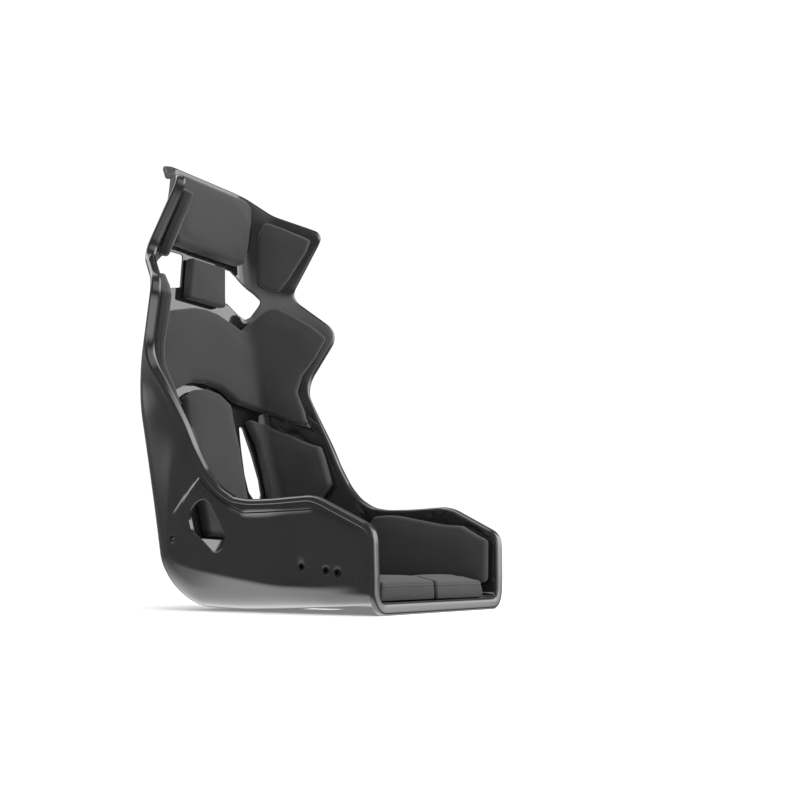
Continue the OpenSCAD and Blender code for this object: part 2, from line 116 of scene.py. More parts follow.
def face(q, c):
    """Points of the inner face of the shell at (q, c)."""
    q, c = np.broadcast_arrays(np.asarray(q, float), np.asarray(c, float))
    v = station(q)
    a = np.abs(c)[..., None]
    zero = np.zeros_like(q)
    o = np.stack([zero, v[..., 1], v[..., 2]], -1)
    v1 = np.stack([v[..., 3], v[..., 1], v[..., 2]], -1)
    v2 = v[..., 5:8]
    r = v[..., 9:12]
    a1 = v[..., 4:5]
    a2 = v[..., 8:9]
    d = np.array([1.0, 0, 0])
    e = unit(v2 - v1)
    f = unit(r - v2)
    parts = [
        o + (v1 - d * a1 - o) * a,
        bezier(v1 - d * a1, v1, v1 + e * a1, a - 1),
        (v1 + e * a1) * (3 - a) + (v2 - e * a2) * (a - 2),
        bezier(v2 - e * a2, v2, v2 + f * a2, a - 3),
        (v2 + f * a2) * (5 - a) + r * (a - 4),
    ]
    p = np.select([a <= 1, a <= 2, a <= 3, a <= 4, a > 4], parts)
    p[..., 0] *= np.where(c < 0, -1, 1)
    return p


def normal(q, c):
    """Unit normals pointing out of the seat."""
    q = np.clip(q, 26, Q_MAX - 28)
    c = np.clip(c, -4.7, 4.7)
    along = face(q + 1, c) - face(q - 1, c)
    across = face(q, c + 0.02) - face(q, c - 0.02)
    return unit(np.cross(along, across))


def soft_normal(q, c):
    """Normals averaged over about 50 mm, so that thick pads don't fold in the bends."""
    total = 0
    for dq in (-24, -12, 0, 12, 24):
        for dc in (-0.6, -0.4, -0.2, 0, 0.2, 0.4, 0.6):
            total = total + normal(q + dq, np.clip(c + dc, -C_MAX, C_MAX))
    return unit(total)


# Arc length from the centre line, tabulated over (q, c)
ARC_STEP = 2.0
ARC_Q = np.arange(0, Q_MAX + 1, ARC_STEP)
ARC_C = np.linspace(0, C_MAX, 201)
_pts = face(ARC_Q[:, None], ARC_C[None, :])
_len = np.linalg.norm(np.diff(_pts, axis=1), axis=2)
ARC = np.concatenate([np.zeros((len(ARC_Q), 1)), np.cumsum(_len, 1)], 1)


def arc_row(q):
    """Arc lengths at every ARC_C, for each q."""
    t = np.clip(np.asarray(q, float), 0, ARC_Q[-1] - 1e-6) / ARC_STEP
    i = np.floor(t).astype(int)
    f = (t - i)[..., None]
    return ARC[i] * (1 - f) + ARC[np.minimum(i + 1, len(ARC) - 1)] * f


def to_plane(qc):
    """(q, c) to flat millimetres (s, q), s along the section."""
    rows = arc_row(qc[:, 0])
    s = np.array([np.interp(abs(c), ARC_C, r) for c, r in zip(qc[:, 1], rows)])
    return np.stack([s * np.sign(qc[:, 1]), qc[:, 0]], 1)


def from_plane(sq):
    """Flat millimetres (s, q) back to (q, c)."""
    rows = arc_row(sq[:, 1])
    c = np.array([np.interp(abs(s), r, ARC_C) for s, r in zip(sq[:, 0], rows)])
    return np.stack([sq[:, 1], c * np.sign(sq[:, 0])], 1)


# ---------------------------------------------------------------- outlines
def resample(points, step, closed=True):
    """The same line with its points evenly spaced, about a step apart."""
    p = np.asarray(points, float)
    if closed:
        p = np.vstack([p, p[:1]])
    d = np.r_[0, np.cumsum(np.linalg.norm(np.diff(p, axis=0), axis=1))]
    n = max(3, int(round(d[-1] / step)))
    t = np.linspace(0, d[-1], n + 1)
    out = np.stack([np.interp(t, d, p[:, k]) for k in range(p.shape[1])], 1)
    return out[:-1] if closed else out


def rounded(points, radius, sharp=14):
    """Closed outline with each corner that turns more than sharp degrees made round."""
    p = np.asarray(points, float)
    out = []
    n = len(p)
    for i in range(n):
        a, b, c = p[i - 1], p[i], p[(i + 1) % n]
        u = (a - b) / max(np.linalg.norm(a - b), 1e-9)
        w = (c - b) / max(np.linalg.norm(c - b), 1e-9)
        turn = math.pi - math.acos(float(np.clip(u @ w, -1, 1)))
        if math.degrees(turn) < sharp:
            out.append(b)
            continue
        cut = min(radius * math.tan(turn / 2), 0.48 * np.linalg.norm(a - b),
                  0.48 * np.linalg.norm(c - b))
        s, e = b + u * cut, b + w * cut
        for t in np.linspace(0, 1, 9):
            out.append(s * (1 - t) ** 2 + 2 * b * t * (1 - t) + e * t * t)
    return np.array(out)


def area(p):
    """Area of a closed outline, positive when it runs anticlockwise."""
    x, y = p[:, 0], p[:, 1]
    return 0.5 * float(np.sum(x * np.roll(y, -1) - np.roll(x, -1) * y))


def inset(loop, d):
    """Closed loop, anticlockwise, moved inwards by d; negative d moves it outwards."""
    t = unit(np.roll(loop, -1, 0) - np.roll(loop, 1, 0))
    return loop + np.stack([-t[:, 1], t[:, 0]], 1) * d


def inside(points, loop):
    """Which points lie in a closed outline."""
    x, y = points[:, 0], points[:, 1]
    hit = np.zeros(len(points), bool)
    for (ax, ay), (bx, by) in zip(loop, np.roll(loop, -1, 0)):
        crosses = (ay > y) != (by > y)
        with np.errstate(divide="ignore", invalid="ignore"):
            at = (bx - ax) * (y - ay) / (by - ay) + ax
        hit ^= crosses & (x < at)
    return hit


SOLVER_STEPS = 60


def solve(axes, target, start):
    """(q, c) where the surface has the wanted two coordinates, by Newton steps."""
    q = np.full(len(target), float(start[0]))
    c = np.full(len(target), float(start[1]))
    for _ in range(SOLVER_STEPS):
        p = face(q, c)[:, axes]
        jq = face(q + 0.5, c)[:, axes] - face(q - 0.5, c)[:, axes]
        jc = (face(q, c + 0.005)[:, axes] - face(q, c - 0.005)[:, axes]) * 100
        r = target - p
        det = jq[:, 0] * jc[:, 1] - jq[:, 1] * jc[:, 0]
        dq = (r[:, 0] * jc[:, 1] - r[:, 1] * jc[:, 0]) / det
        dc = (jq[:, 0] * r[:, 1] - jq[:, 1] * r[:, 0]) / det
        q = np.clip(q + np.clip(dq, -30, 30), 1, Q_MAX - 1)
        c = np.clip(c + np.clip(dc, -0.4, 0.4), -4.98, 4.98)
    return np.stack([q, c], 1)


# ---------------------------------------------------------------- holes and panel lines
HARNESS = [[57, 704], [92, 703], [110, 694], [149, 662], [162, 648], [160, 638], [149, 612],
           [140, 605], [90, 629], [60, 636]]
LUMBAR = [[108, 364], [113, 369], [120, 364], [134, 308], [142, 256], [140, 226], [132, 214],
          [112, 214], [101, 228], [98, 264], [102, 316]]
LAP = [[97, 193], [114, 188], [127, 175], [132, 157], [127, 141], [79, 103], [67, 101],
       [54, 107], [47, 121], [51, 137], [84, 186]]
CROTCH = [[-17, -43], [17, -43], [17, 27], [-17, 27]]
MOUNTS = [[174, 126], [-115, 76], [-162, 70], [-183, 67]]
MOUNT_HOLE = 6.8
HOLE_BEVEL = 1.3
MOUNT_BEVEL = 0.5
HOLE_STEP = 3
MOUNT_STEP = 1.2
XZ, YZ, XY = [0, 2], [1, 2], [0, 1]


def circle(p, r, n=36):
    a = np.linspace(0, 2 * math.pi, n, endpoint=False)
    return np.stack([p[0] + r * np.cos(a), p[1] + r * np.sin(a)], 1)


def hole_list():
    """Every hole: axes, outline, a starting (q, c), bevel, corner radius, point spacing."""
    found = []
    for side in (1, -1):
        to_side = np.array([side, 1])
        found.append((XZ, np.array(HARNESS) * to_side, (1100, 1.0 * side),
                      HOLE_BEVEL, 6, HOLE_STEP))
        found.append((XZ, np.array(LUMBAR) * to_side, (690, 0.7 * side),
                      HOLE_BEVEL, 6, HOLE_STEP))
        found.append((YZ, np.array(LAP), (420, 4.3 * side), HOLE_BEVEL, 14, HOLE_STEP))
        for y, z in MOUNTS:
            start = (450 if y > 0 else 252 + y, 4.1 * side)
            found.append((YZ, circle((y, z), MOUNT_HOLE), start, MOUNT_BEVEL, 0, MOUNT_STEP))
    found.append((XY, np.array(CROTCH), (250, 0.0), HOLE_BEVEL, 5, HOLE_STEP))
    return found


def hole_rings(axes, outline, start, bevel, radius, step):
    """Rings of (q, c, depth) from the face round the edge of a hole to its wall."""
    loop = np.asarray(outline, float)
    if area(loop) < 0:
        loop = loop[::-1]
    if radius:
        loop = resample(rounded(loop, radius), step)
    rings = []
    for a in (0, 30, 60, 90):
        e = bevel * (1 - math.sin(math.radians(a)))
        qc = solve(axes, inset(loop, -e), start)
        rings.append((qc, bevel * (1 - math.cos(math.radians(a)))))
    return rings


# Lines of the raised side panel, as (y, z) on the outside of the side wall
STEP_LINE = [[109, 232], [91, 214], [65, 195], [39, 180], [8, 167.5], [-41, 167.6],
             [-139, 169], [-164, 163], [-226, 133]]
CREASE = [[98, 242], [109, 232], [151, 193], [184, 163], [215, 133]]
PANEL_RISE = 2.6
RAMP = (0.2, 3.2)
RAMP_LINES = (0.2, 1.0, 1.7, 2.4, 3.2)


def signed_to(line, y, z):
    """Distance of points from a polyline, positive on its left."""
    best = np.full(y.shape, 1e9)
    sign = np.ones(y.shape)
    for (ay, az), (by, bz) in zip(line[:-1], line[1:]):
        dy, dz = by - ay, bz - az
        t = np.clip(((y - ay) * dy + (z - az) * dz) / (dy * dy + dz * dz), 0, 1)
        dist = np.hypot(y - ay - t * dy, z - az - t * dz)
        near = dist < best
        best = np.where(near, dist, best)
        sign = np.where(near, np.sign(dy * (z - az) - dz * (y - ay)), sign)
    return best * sign


def smooth(x, lo, hi):
    """0 below lo and 1 above hi, with a soft start and end."""
    t = np.clip((x - lo) / (hi - lo), 0, 1)
    return t * t * (3 - 2 * t)


def relief(q, c):
    """How far the raised side panel stands out of the outer skin."""
    p = face(q, c)
    y, z = p[..., 1], p[..., 2]
    below = smooth(signed_to(STEP_LINE, y, z), *RAMP)
    ahead = smooth(-signed_to(CREASE, y, z), *RAMP)
    above_bend = smooth(np.abs(c), 4.02, 4.5)
    behind_lip = smooth(y, -232, -190)
    return PANEL_RISE * below * ahead * above_bend * behind_lip


# ---------------------------------------------------------------- mesh helpers
def even(a, b, n):
    """n values from a, evenly spaced and stopping short of b."""
    return list(np.linspace(a, b, n, endpoint=False))


ROWS = np.unique(np.round(
    even(0, 30, 12) + even(30, 300, 50) + even(300, 520, 84) + even(520, 840, 44)
    + even(840, 1110, 48) + even(1110, 1180, 9) + even(1180, 1270, 20)
    + list(np.linspace(1270, Q_MAX, 8)), 3))
_half = (even(0, 1, 9) + even(1, 2, 12) + even(2, 3, 6) + even(3, 4, 9)
         + list(np.linspace(4, 5, 9)))
COLS = np.array([-x for x in _half[:0:-1]] + _half)
C_SCALE = 60.0
CLEARANCE = 1.6
CHUNK = 400


def skin(loops, lines):
    """Grid over (q, c), triangulated afresh round loops and lines.

    Returns the (q, c) of every vertex, the faces, and each loop's vertex numbers.
    """
    m, n = len(ROWS), len(COLS)
    near = np.zeros((m - 1, n - 1), bool)
    for p in loops + lines:
        d = resample(p * [1, C_SCALE], 2.0, closed=False) / [1, C_SCALE]
        i = np.clip(np.searchsorted(ROWS, d[:, 0]) - 1, 0, m - 2)
        j = np.clip(np.searchsorted(COLS, d[:, 1]) - 1, 0, n - 2)
        for di in (-1, 0, 1):
            for dj in (-1, 0, 1):
                near[np.clip(i + di, 0, m - 2), np.clip(j + dj, 0, n - 2)] = True
    mids = np.stack(np.meshgrid((ROWS[1:] + ROWS[:-1]) / 2, (COLS[1:] + COLS[:-1]) / 2,
                                indexing="ij"), -1).reshape(-1, 2)
    for p in loops:
        near |= inside(mids, p).reshape(near.shape)
    grid = np.stack(np.meshgrid(ROWS, COLS, indexing="ij"), -1).reshape(-1, 2)
    used = np.zeros((m, n), bool)
    for di in (0, 1):
        for dj in (0, 1):
            used[di:m - 1 + di, dj:n - 1 + dj] |= near
    blocked = np.zeros(m * n, bool)
    for p in loops:
        blocked |= inside(grid, p)
    for p in loops + lines:
        d = resample(p * [1, C_SCALE], 1.5, closed=False)
        ids = np.flatnonzero(used.ravel())
        away = grid[ids] * [1, C_SCALE]
        for k in range(0, len(ids), CHUNK):
            gap = np.linalg.norm(away[k:k + CHUNK, None] - d[None], axis=2).min(1)
            blocked[ids[k:k + CHUNK]] |= gap < CLEARANCE
    edges = []
    keep = set()
    padded = np.pad(near, 1)
    for i, j in zip(*np.nonzero(near)):
        a = i * n + j
        for di, dj, u, w in ((-1, 0, a, a + 1), (1, 0, a + n, a + n + 1),
                             (0, -1, a, a + n), (0, 1, a + 1, a + n + 1)):
            if not padded[i + 1 + di, j + 1 + dj]:
                edges.append((u, w))
                keep.update((u, w))
    ids = [k for k in np.flatnonzero(used.ravel()) if not blocked[k] or k in keep]
    where = {k: t for t, k in enumerate(ids)}
    pts = [grid[k] * [1, C_SCALE] for k in ids]
    edges = [(where[u], where[w]) for u, w in edges]
    spans = []
    for p, closed in [(p, True) for p in loops] + [(p, False) for p in lines]:
        base = len(pts)
        pts.extend(p * [1, C_SCALE])
        k = len(p)
        edges.extend((base + t, base + (t + 1) % k) for t in range(k if closed else k - 1))
        spans.append((base, k))
    verts, _, tris, origin, _, _ = delaunay_2d_cdt(
        [Vector(p) for p in pts], edges, [], 0, 1e-6, True)
    qc = list(grid)
    name = {}
    for t, came in enumerate(origin):
        grids = [k for k in came if k < len(ids)]
        if grids:
            name[t] = ids[grids[0]]
        else:
            name[t] = len(qc)
            qc.append(np.array([verts[t][0], verts[t][1] / C_SCALE]))
    number = {}
    for t, came in enumerate(origin):
        for k in came:
            number[k] = name[t]
    tri = np.array([t[:] for t in tris])
    flat = np.array([v[:] for v in verts]) / [1, C_SCALE]
    mid = flat[tri].mean(1)
    i = np.clip(np.searchsorted(ROWS, mid[:, 0]) - 1, 0, m - 2)
    j = np.clip(np.searchsorted(COLS, mid[:, 1]) - 1, 0, n - 2)
    ok = near[i, j]
    for p in loops:
        ok &= ~inside(mid, p)
    faces = [tuple(name[v] for v in t) for t in tri[ok]]
    for i, j in zip(*np.nonzero(~near)):
        a = i * n + j
        faces.append((a, a + n, a + n + 1, a + 1))
    found = [[number[b + t] for t in range(k)] for b, k in spans[:len(loops)]]
    return np.array(qc), faces, found


def outline_ids():
    """Vertex numbers of the grid's edge, in order."""
    m, n = len(ROWS), len(COLS)
    return (list(range(n)) + [i * n + n - 1 for i in range(1, m)]
            + [(m - 1) * n + j for j in range(n - 2, -1, -1)]
            + [i * n for i in range(m - 2, 0, -1)])


def strip(a, b):
    """Faces between two closed rings of vertex numbers."""
    k = len(a)
    return [(a[t], a[(t + 1) % k], b[(t + 1) % k], b[t]) for t in range(k)]


def make(name, points, faces, angle=40, **layers):
    """Mesh object from millimetre points; layers are flat millimetres at each point."""
    used = sorted({v for f in faces for v in f})
    index = {v: k for k, v in enumerate(used)}
    faces = [tuple(index[v] for v in f) for f in faces]
    points = (np.asarray(points, float)[used] + SHIFT) * MM
    mesh = bpy.data.meshes.new(name)
    mesh.from_pydata([tuple(p) for p in points], [], faces)
    mesh.validate()
    for key, values in layers.items():
        layer = mesh.attributes.new(key, "FLOAT_VECTOR", "POINT")
        data = np.zeros((len(points), 3), np.float32)
        data[:, :2] = values[used] * MM
        layer.data.foreach_set("vector", data.ravel())
    obj = bpy.data.objects.new(name, mesh)
    bpy.context.scene.collection.objects.link(obj)
    orient(mesh)
    mesh.polygons.foreach_set("use_smooth", [True] * len(mesh.polygons))
    mesh.set_sharp_from_angle(angle=math.radians(angle))
    return obj


def orient(mesh):
    """Turn every face outwards."""
    bm = bmesh.new()
    bm.from_mesh(mesh)
    bmesh.ops.recalc_face_normals(bm, faces=bm.faces)
    bm.to_mesh(mesh)
    bm.free()


# ---------------------------------------------------------------- shell
LIP_ROLL = 7.0
LIP_TUCK = 4.5
LIP_DEPTH = 20.0
LIP_EDGE = 1.7


def lip_profile():
    """Section of the rolled lip: outwards from the rim, and behind the face."""
    out = [(LIP_ROLL * math.sin(a), LIP_ROLL * (1 - math.cos(a)))
           for a in np.linspace(0, math.pi / 2, 10)[1:]]
    flat = LIP_DEPTH - LIP_TUCK
    out += [(LIP_ROLL, LIP_ROLL + (flat - LIP_ROLL) * t) for t in (0.35, 0.7)]
    out += [(LIP_ROLL - LIP_TUCK * (1 - math.cos(a)), LIP_DEPTH - LIP_TUCK * (1 - math.sin(a)))
            for a in np.linspace(0, math.pi / 2, 8)]
    half = LIP_EDGE
    out += [(-1.3 - half * math.sin(a), LIP_DEPTH - half + half * math.cos(a))
            for a in np.linspace(0, math.pi, 7)]
    inner = LIP_ROLL - WALL
    out += [(1.2, LIP_DEPTH - 2 * half), (2.6, LIP_DEPTH - 2 * half - 1.0),
            (inner, LIP_DEPTH - 2 * half - 2.2), (inner, LIP_ROLL + 1.5),
            (inner * 0.9, LIP_ROLL - 0.6), (inner * 0.5, WALL + 0.7)]
    return out


def build_shell():
    """One closed mesh: both faces, the walls of the holes and the rolled lip."""
    rings = [hole_rings(*h) for h in hole_list()]
    edge_loops = [r[0][0] for r in rings]
    lines = []
    for line, sign in ((STEP_LINE, 1), (CREASE, -1)):
        dense = resample(line, 5, closed=False)
        for d in RAMP_LINES:
            t = unit(np.gradient(dense, axis=0))
            moved = dense + np.stack([-t[:, 1], t[:, 0]], 1) * d * sign
            for side in (1, -1):
                lines.append(solve(YZ, moved, (330, 4.6 * side)))
    qc_in, faces_in, loops_in = skin(edge_loops, [])
    qc_out, faces_out, loops_out = skin(edge_loops, lines)
    p_in = face(qc_in[:, 0], qc_in[:, 1])
    n_out = normal(qc_out[:, 0], qc_out[:, 1])
    lift = WALL + relief(qc_out[:, 0], qc_out[:, 1])
    p_out = face(qc_out[:, 0], qc_out[:, 1]) + n_out * lift[:, None]
    points = [p_in, p_out]
    base = len(p_in)
    faces = [f[::-1] for f in faces_in] + [tuple(v + base for v in f) for f in faces_out]
    count = base + len(p_out)
    for ring, loop_in, loop_out in zip(rings, loops_in, loops_out):
        chain = [loop_in]
        for side in (0, 1):
            for qc, depth in (ring[1:] if side == 0 else ring[:0:-1]):
                n = normal(qc[:, 0], qc[:, 1])
                top = WALL + relief(qc[:, 0], qc[:, 1])
                h = np.full(len(qc), depth) if side == 0 else top - depth
                points.append(face(qc[:, 0], qc[:, 1]) + n * h[:, None])
                chain.append(list(range(count, count + len(qc))))
                count += len(qc)
        chain.append([v + base for v in loop_out])
        for a, b in zip(chain, chain[1:]):
            faces += strip(a, b)
    edge = outline_ids()
    p = p_in[edge]
    n = normal(qc_in[edge, 0], qc_in[edge, 1])
    out = unit(np.cross(n, np.roll(p, -1, 0) - np.roll(p, 1, 0)))
    for _ in range(3):
        out = unit(np.roll(out, 1, 0) + 2 * out + np.roll(out, -1, 0))
    chain = [edge]
    for o, h in lip_profile():
        points.append(p + out * o + n * h)
        chain.append(list(range(count, count + len(edge))))
        count += len(edge)
    chain.append([v + base for v in edge])
    for a, b in zip(chain, chain[1:]):
        faces += strip(a, b)
    return make("shell_body", np.vstack(points), faces, angle=42)


# ---------------------------------------------------------------- pads
PAD_THICK = 24.0


def mirror(half):
    """The other half of a line that starts on the centre line."""
    return [[q, -c] for q, c in half[:0:-1]]


def flip(side):
    """A line moved to the other side."""
    return [[q, -c] for q, c in side]


def whole(bottom, top, right):
    """Outline of a pad that crosses the centre line."""
    b = mirror(bottom) + bottom
    t = mirror(top) + top
    return b + right[1:-1] + t[::-1] + flip(right)[::-1][1:-1]


def loop_of(bottom, top, left, right):
    """Outline of a pad on one side, from its four edges."""
    return bottom + right[1:-1] + top[::-1] + left[::-1][1:-1]


SEAT_THICK = [[0, 29], [6, 33], [45, 44], [60, 43.5], [150, 34], [250, 27], [420, 24]]
# Outlines in (q, c) and millimetres: thick as (q, thickness), corner radius, edge rounding,
# crown, gap behind the pad; a flat pad has its front square to the sitter
PADS = {
    "head_pad": dict(
        loop=whole([[1137, 0], [1137, 0.6], [1138, 1.15]],
                   [[1283, 0], [1283, 1.0], [1281, 2.1]],
                   [[1138, 1.15], [1185, 1.6], [1240, 2.05], [1281, 2.1]]),
        thick=[[0, 33], [Q_MAX, 33]], radius=15, edge=8, flat=True, crown=1.0),
    "head_side_pad": dict(
        loop=loop_of([[1106, 2.7], [1096, 3.6], [1094, 4.4]],
                     [[1252, 2.95], [1240, 4.16], [1206, 4.88]],
                     [[1106, 2.7], [1158, 2.62], [1215, 2.62], [1252, 2.95]],
                     [[1094, 4.4], [1125, 4.7], [1180, 4.88], [1206, 4.88]]),
        thick=[[0, PAD_THICK], [Q_MAX, PAD_THICK]], radius=13, edge=8, crown=1.0),
    "neck_pad": dict(
        loop=whole([[1037, 0], [1037, 0.49]], [[1124, 0], [1124, 0.51]],
                   [[1037, 0.49], [1124, 0.51]]),
        thick=[[0, 25], [Q_MAX, 25]], radius=7, edge=6, crown=0.6),
    "upper_back_pad": dict(
        loop=whole([[868, 0], [863, 0.3], [838, 0.62], [831, 0.95], [827, 1.6], [816, 2.6],
                    [803, 3.4], [793, 4.0], [786, 4.3], [779, 4.55], [773, 4.72]],
                   [[1026, 0], [1023, 0.3], [1010, 0.7], [1000, 0.95], [1022, 1.6],
                    [1047, 2.76], [1054, 3.5], [1054, 4.08], [1038, 4.4], [1010, 4.66],
                    [980, 4.9]],
                   [[773, 4.72], [828, 4.74], [870, 4.66], [906, 4.76], [940, 4.88],
                    [980, 4.9]]),
        thick=[[0, PAD_THICK], [Q_MAX, PAD_THICK]], radius=11, edge=8, crown=1.0),
    "lumbar_pad": dict(
        loop=whole([[545, 0], [547, 0.42]], [[857, 0], [851, 0.24], [830, 0.46]],
                   [[547, 0.42], [640, 0.45], [740, 0.48], [830, 0.46]]),
        thick=[[0, PAD_THICK], [Q_MAX, PAD_THICK]], radius=12, edge=8, crown=1.0),
    "lumbar_side_pad": dict(
        loop=loop_of([[545, 0.94], [545, 2.0], [545, 3.4], [542, 4.84]],
                     [[806, 0.76], [800, 1.8], [757, 3.68], [690, 4.84]],
                     [[545, 0.94], [620, 0.93], [690, 0.93], [750, 0.91], [806, 0.76]],
                     [[542, 4.84], [600, 4.86], [660, 4.86], [690, 4.84]]),
        thick=[[0, PAD_THICK], [Q_MAX, PAD_THICK]], radius=10, edge=8, crown=0.8),
    "thigh_pad": dict(
        loop=loop_of([[8, 2.8], [60, 2.4], [200, 2.3], [330, 2.3]],
                     [[8, 4.9], [60, 4.92], [200, 4.93], [350, 4.93]],
                     [[8, 2.8], [8, 4.9]],
                     [[330, 2.3], [350, 4.93]]),
        thick=[[0, 22], [Q_MAX, 22]], radius=12, edge=7, crown=0.8, gap=5.4),
    "seat_pad": dict(
        loop=loop_of([[8, 0.012], [8, 0.96]],
                     [[425, 0.012], [425, 0.9]],
                     [[8, 0.012], [206, 0.012], [213, 0.15], [290, 0.15], [297, 0.012],
                      [425, 0.012]],
                     [[8, 0.96], [60, 1.1], [120, 1.3], [200, 1.42], [300, 1.42], [370, 1.2],
                      [425, 0.9]]),
        thick=SEAT_THICK, radius=5, edge=5, crown=1.0),
}
GAP = 2.4


def pad_point(spec, qc, lift):
    """Points at height lift over the shell face, 0 at the back and 1 at the full front."""
    q, c = qc[:, 0], qc[:, 1]
    thick = np.interp(q, *np.array(spec["thick"]).T)
    gap = spec.get("gap", GAP)
    p = face(q, c)
    n = soft_normal(q, c)
    back = p - normal(q, c) * gap
    if spec.get("flat"):
        front = np.stack([p[:, 0], station(q)[:, 1] - thick, p[:, 2]], 1)
    else:
        front = p - n * thick[:, None]
    full = np.linalg.norm(front - back, axis=1)
    return back + (front - back) * (lift(full) / full)[:, None]


SLACK = 1.4
SEAM_SHARE = 0.82
EDGE_STEP = 3.5
FACE_STEP = 6.0
CROWN_RUN = 45
AWAY_FROM_SEAM = 60.0
# Rings of the side wall: share of its height, and how far the ring is drawn in
SIDE_RINGS = ((0.0, 1.6), (0.12, 0.7), (0.3, 0.15), (0.5, 0.0), (0.7, 0.0),
              (SEAM_SHARE - 0.05, 0.0), (SEAM_SHARE, 0.8), (SEAM_SHARE + 0.05, 0.0),
              (0.93, 0.0))


def build_pad(spec):
    """Points, faces, weave and seam coordinates, and the height of each point as a share."""
    loop = to_plane(np.array(spec["loop"], float))
    if area(loop) < 0:
        loop = loop[::-1]
    loop = inset(resample(rounded(loop, spec["radius"]), EDGE_STEP), SLACK)
    edge = spec["edge"]
    crown = spec["crown"]
    k = len(loop)
    around = np.r_[0, np.cumsum(np.linalg.norm(np.diff(loop, axis=0), axis=1))]
    middle = float(np.interp(loop[:, 1].mean(), *np.array(spec["thick"]).T))
    height = middle - SLACK - GAP - edge

    def swell(d):
        return crown * (smooth(d, 0, CROWN_RUN) - 0.5) - SLACK

    points, weave, seam, share_of, chain = [], [], [], [], []

    def ring(at, lift, run, share):
        first = sum(len(p) for p in points)
        chain.append(list(range(first, first + k)))
        points.append(pad_point(spec, from_plane(at), lift))
        weave.append(inset(loop, run))
        seam.append(np.stack([around, np.full(k, run + height * (1 - SEAM_SHARE))], 1))
        share_of.append(np.full(k, share))

    for share, tuck in SIDE_RINGS:
        ring(inset(loop, tuck), lambda full: (full - edge - SLACK) * share,
             -height * (1 - share), share * 0.7)
    for a in np.linspace(0, math.pi / 2, 9):
        back = edge * (1 - math.sin(a))
        ring(inset(loop, edge * (1 - math.cos(a))),
             lambda full: full - back + swell(0) * (1 - back / edge) - SLACK * back / edge,
             edge * a, 0.7 + 0.3 * math.sin(a))
    core = inset(loop, edge + 3.0)
    lo, hi = core.min(0), core.max(0)
    gx, gy = np.meshgrid(np.arange(lo[0], hi[0], FACE_STEP),
                         np.arange(lo[1], hi[1], FACE_STEP))
    pts = np.stack([gx.ravel(), gy.ravel()], 1)
    pts = pts[inside(pts, core)]
    far = np.array([np.linalg.norm(core - p, axis=1).min() for p in pts])
    pts = pts[far > FACE_STEP * 0.55]
    verts, _, tris, _, _, _ = delaunay_2d_cdt(
        [Vector(p) for p in np.vstack([core, pts])],
        [(t, (t + 1) % k) for t in range(k)], [], 1, 1e-6, True)
    flat = np.array([v[:] for v in verts])
    mids = np.array([flat[list(t)].mean(0) for t in tris])
    tris = [tuple(t) for t, ok in zip(tris, inside(mids, core)) if ok]
    depth = np.array([np.linalg.norm(loop - p, axis=1).min() for p in flat])
    front = sum(len(p) for p in points)
    back_start = front + len(flat)
    far_off = np.tile([0.0, AWAY_FROM_SEAM], (len(flat), 1))
    for lift, share in ((lambda full: full + swell(depth - edge), 1.0),
                        (lambda full: full * 0, 0.0)):
        points.append(pad_point(spec, from_plane(flat), lift))
        weave.append(flat)
        seam.append(far_off)
        share_of.append(np.full(len(flat), share))
    faces = []
    for a, b in zip(chain, chain[1:]):
        faces += strip(a, b)
    faces += strip(chain[-1], [front + t for t in range(k)])
    faces += strip([back_start + t for t in range(k)], chain[0])
    faces += [tuple(front + v for v in t) for t in tris]
    faces += [tuple(back_start + v for v in t[::-1]) for t in tris]
    return (np.vstack(points), faces, np.vstack(weave), np.vstack(seam),
            np.concatenate(share_of))


VOXEL = 0.006
PRESSURE = 4
FRAMES = 20
CAP = 3.2
PIN_SHARE = (0.35, 0.6)
SMOOTHING = 6
NEAREST = 8
SOFTENING = 0.002


